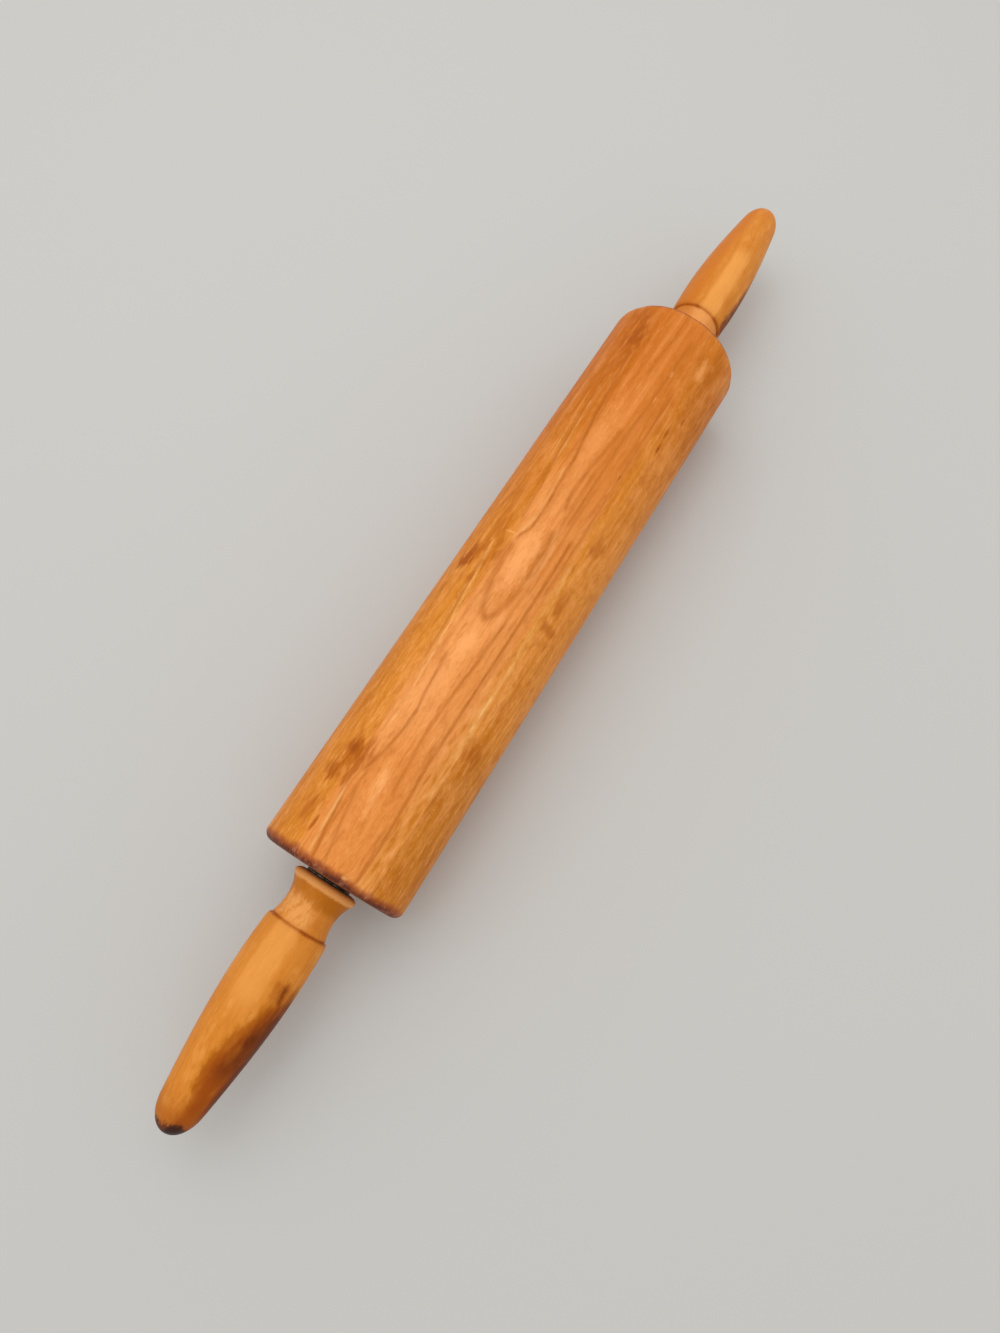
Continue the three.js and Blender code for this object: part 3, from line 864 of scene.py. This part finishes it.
def handle_wood(name, direction, pith, seed):
    """Straight-grained wood of one handle before its own stains, from the place of the pith beside the axle.
    Its neck carries painted shade behind the collar and painted highlight in the hollow, and the collar's
    front a painted highlight. Out runs from the collar's face to the tip."""
    material, along, side, up, turn = new_finish(name)
    out = along * direction - handle_low.x
    grown = along + seed * SEED_SHIFT
    mottle = cloud(grown, side, up, (8, 4, 4), 5.0)
    fibres = cloud(grown, side, up, (20, 0.9, 0.9), 4.0)
    fine_fibres = cloud(grown, side, up, (8, 0.3, 0.3), 2.0)
    grit = cloud(grown, side, up, (1.8, 0.9, 0.9), 3.0)
    sway = cloud(grown, side, up, (40, 12, 12), 2.0)
    from_pith = distance(side - pith[0], up - pith[1])
    rings = (from_pith + sway * HANDLE_RING_SWAY + along * HANDLE_RING_LEAN) / HANDLE_RING_GAP
    late_wood = late_growth(rings, HANDLE_LATE_WOOD_START)
    colour = paint(HANDLE_AMBER, HANDLE_RED, rise(mottle, 0.0, 0.2) * 0.3)
    colour = paint(colour, RING_BROWN, late_wood * 0.14)
    colour = paint(colour, PALE_FIBRE, rise(fibres, 0.04, 0.2) * 0.08)
    colour = paint(colour, RING_BROWN, rise(fibres, -0.04, -0.2) * 0.14)
    colour = paint(colour, RING_BROWN, rise(fine_fibres, 0.0, -0.2) * 0.12)
    colour = paint(colour, HANDLE_PALE, rise(mottle, -0.02, -0.2) * 0.28)
    colour = paint(colour, OIL_BROWN, rise(grit, 0.05, 0.2) * 0.16)
    # Painted shade: the neck is painted browner behind the collar, more so on the side towards the camera.
    shaded_neck = band(out + mottle * 4 + grit, rim_end, 7.5, 4)
    colour = paint(colour, NECK_BROWN, shaded_neck * (0.55 + rise(turn, 0, 35) * 0.35))
    # Painted highlight, partly: pale patches in the upper part of the hollow of the neck, over mottled wood.
    lit_neck = band(out + mottle * 3, 10, 15.5, 4) * rise(mottle + grit * 0.6, -0.18, 0.12)
    colour = paint(colour, PALE_FIBRE, lit_neck * band(turn, -45, 14, 25) * 0.6)
    # Painted highlight: the collar's front is painted pale against the shade that the barrel throws on it.
    colour = paint(colour, PALE_FIBRE, rise(out + grit + mottle, 3.9, 2.9) * 0.6)
    colour = paint(colour, LINE_BROWN, band(out, neck_end, line_end, 0.8) * (0.6 + mottle * 1.4))
    dress(
        material,
        Roughness=0.42 + fibres * 0.2 + mottle * 0.16,
        height=(fine_fibres + fibres) * 0.02 + grit * 0.01,
        Specular_IOR_Level=0.11,
    )
    return SimpleNamespace(material=material, colour=colour, out=out, turn=turn, mottle=mottle, grit=grit)


def make_handle(side_name, wood):
    """Turns a handle and gives it its wood, with the colour that its stains, its painted highlights and its
    painted shade have come to.
    """
    dress(wood.material, Base_Color=wood.colour)
    placed = [(SIDES[side_name] * (handle_low.x + out), radius) for out, radius in handle_outline]
    handle = turn_on_lathe(f"{side_name}_handle_turned", placed, HANDLE_STEPS_AROUND)
    clothe(handle, wood.material, "axle", "handle_wood", f"{side_name}_handle")


# The left handle's stain: its upper edge as points of (out, turn), a crack where it starts, and a dark tip.
STAIN_RED = (0.34, 0.066, 0.0, 1)
STAIN_DARK = (0.13, 0.021, 0.0, 1)
TIP_BLACK = (0.028, 0.007, 0.004, 1)
STAIN_EDGE = [(41, 48), (46, 36), (52, 27), (58, 18), (64, 11), (69, 8), (75, 12), (80, 21), (85, 36)]
CRACK = [(35, 52), (38, 52), (40.5, 55), (42.5, 60), (46, 64)]
LEFT_PITH = (-16, -24)
LEFT_SEED = 1
grip_mm_per_degree = math.radians(1) * GRIP_RADIUS
left = handle_wood("left handle wood", SIDES["left"], LEFT_PITH, LEFT_SEED)
ragged_turn = left.turn + left.mottle * 18 + left.grit * 8
below_edge = ragged_turn - turn_of_line(left.out, STAIN_EDGE)
underside = rise(left.turn, 165, 120)
browned = rise(below_edge, -14, 2) * band(left.out + left.mottle * 6, 40, 84, 6) * underside
stained = rise(below_edge, -5, 14) * band(left.out + left.mottle * 4, 43, 82, 5) * underside
darkest = rise(below_edge, 4, 34) * band(left.out + left.mottle * 8, 46, 62, 14) * underside
tide_mark = band(below_edge, 0, 5, 5) * band(left.out + left.mottle * 4, 52, 83, 5)
low_edge = rise(left.turn + left.mottle * 12, 58, 80) * band(left.out, 50, 85, 6) * underside
# Painted highlight, partly: the top of the grip is painted paler, over paler wood.
crown = band(left.turn + left.mottle * 20, -18, 14, 14) * band(left.out, 21, 40, 14)
left.colour = paint(left.colour, HANDLE_PALE, crown * 0.45)
left.colour = paint(left.colour, NECK_BROWN, browned * (0.85 + left.mottle))
left.colour = paint(left.colour, STAIN_RED, stained * (0.9 + left.mottle * 1.3))
left.colour = paint(left.colour, STAIN_RED, tide_mark * 0.35)
left.colour = paint(left.colour, STAIN_DARK, darkest * (0.8 + left.mottle * 1.6))
left.colour = paint(left.colour, STAIN_DARK, low_edge * 0.92)
crack, = strokes(left.out, left.turn, grip_mm_per_degree, CRACK, left.grit * 3.4, 2.0)
cracked = band(ragged_turn, 38, 54, 10) * band(left.out + left.grit * 6, 36, 40, 3)
left.colour = paint(left.colour, STAIN_RED, cracked * 0.4)
left.colour = paint(left.colour, STAIN_RED, crack * 0.9)
left.colour = paint(left.colour, STAIN_DARK, crack * (0.5 + left.mottle * 1.5))
tip_out = left.out + left.mottle * 4 + left.grit * 2.4
tip_ring = rise(tip_out + band(left.turn, 15, 95, 30) * 1.2, 89.0, 91.0)
tip_blot = band(ragged_turn, 16, 72, 14) * rise(tip_out, 87.4, 89.4)
tip_red = rise(tip_out, 77, 88) * (0.5 + rise(left.turn, -10, 35) * 0.42)
left.colour = paint(left.colour, STAIN_RED, tip_red)
left.colour = paint(left.colour, STAIN_DARK, tip_ring * 0.9)
left.colour = paint(left.colour, TIP_BLACK, tip_ring * rise(tip_out, 90.0, 91.6) * 0.75)
left.colour = paint(left.colour, TIP_BLACK, tip_blot * 0.9)
make_handle("left", left)

# The right handle is palest on its top and pink in its neck, both partly painted highlight, and reddish on
# the far side, and a dark streak runs low on the near side.
RIGHT_PITH = (20, -20)
RIGHT_SEED = 2
right = handle_wood("right handle wood", SIDES["right"], RIGHT_PITH, RIGHT_SEED)
ragged_turn = right.turn + right.mottle * 16
pale_lit_top = band(ragged_turn, 8, 30, 14) * band(right.out, 19, 50, 12)
red_side = rise(ragged_turn, 0, -30) * rise(right.turn, -150, -110)
streak_edge = right.turn - right.out * 0.4 + right.mottle * 18 + right.grit * 8
streak_end = rise(right.out, neck_end, line_end + 2) * rise(right.out + right.mottle * 24, 60, 34)
streak_low = rise(right.turn + right.mottle * 30 + right.grit * 12, 116, 88)
streak = rise(streak_edge, 48, 70) * streak_low * streak_end
pink_lit_neck = band(right.out + right.mottle * 3, 6, 16, 3)
# Painted highlight, partly: the pale top and the pink neck, over paler and pinker wood.
right.colour = paint(right.colour, HANDLE_PALE, pale_lit_top * 0.6)
right.colour = paint(right.colour, PALE_HEART, pink_lit_neck * 0.45)
right.colour = paint(right.colour, HANDLE_RED, red_side * 0.7)
right.colour = paint(right.colour, STAIN_RED, streak)
right.colour = paint(right.colour, STAIN_DARK, streak * (0.66 + right.mottle * 1.6 + right.grit))
make_handle("right", right)


# Table: a wide sheet of plain pale grey with a matt surface, on which the barrel lies along its lowest line.
# It isn't part of the pin.
TABLE_HALF = 20.0
TABLE_GREY = (0.57, 0.562, 0.54, 1)
table_mesh = bpy.data.meshes.new("table")
table_corners = [(-TABLE_HALF, -TABLE_HALF, 0), (TABLE_HALF, -TABLE_HALF, 0)]
table_corners += [(TABLE_HALF, TABLE_HALF, 0), (-TABLE_HALF, TABLE_HALF, 0)]
table_mesh.from_pydata(table_corners, [], [(0, 1, 2, 3)])
table = bpy.data.objects.new("table", table_mesh)
bpy.context.scene.collection.objects.link(table)
table_finish = bpy.data.materials.new("table grey")
table_finish.use_nodes = True
dress(table_finish, Base_Color=TABLE_GREY, Roughness=0.7, Specular_IOR_Level=0.2)
table_mesh.materials.append(table_finish)


# Camera: held by hand above the near handle and tilted a little, so that the pin runs across the picture
# from corner to corner. The lens is wide, and its focal length is given in pixels of the image.
IMAGE_HEIGHT = 1333
FOCAL_PIXELS = 850
SENSOR = 36
NEAREST = 0.01
CAMERA_PLACE = (-124.8, -66.3, 343.5)
CAMERA_AIM = (-32.7, -10.1, 29)
camera_data = bpy.data.cameras.new("camera")
camera_data.sensor_width = SENSOR
camera_data.lens = SENSOR * FOCAL_PIXELS / IMAGE_HEIGHT
camera_data.clip_start = NEAREST
camera = bpy.data.objects.new("camera", camera_data)
bpy.context.scene.collection.objects.link(camera)
camera.location = Vector(CAMERA_PLACE) * MILLIMETRE
aim = Vector(CAMERA_AIM) * MILLIMETRE
camera.rotation_euler = (aim - camera.location).to_track_quat("-Z", "Y").to_euler()
bpy.context.scene.camera = camera


# Light: one large soft lamp up to the left of the picture, a second one overhead, and an even pale room. The
# level is plain, so that a colour renders about as it is written.
ROOM_WHITE = (1, 1, 0.99, 1)
ROOM_STRENGTH = 0.82


def soft_lamp(name, place, size, watts):
    data = bpy.data.lights.new(name, "AREA")
    data.size = size
    data.energy = watts
    lamp = bpy.data.objects.new(name, data)
    bpy.context.scene.collection.objects.link(lamp)
    lamp.location = place
    lamp.rotation_euler = (-lamp.location).to_track_quat("-Z", "Y").to_euler()


soft_lamp("window lamp", place=(0.1, 0.35, 0.85), size=0.7, watts=1.4)
soft_lamp("ceiling lamp", place=(0.3, 0.05, 1.1), size=0.8, watts=1.6)
world = bpy.data.worlds.new("room")
bpy.context.scene.world = world
world.use_nodes = True
background = world.node_tree.nodes["Background"]
background.inputs["Color"].default_value = ROOM_WHITE
background.inputs["Strength"].default_value = ROOM_STRENGTH
bpy.context.scene.view_settings.view_transform = "Standard"
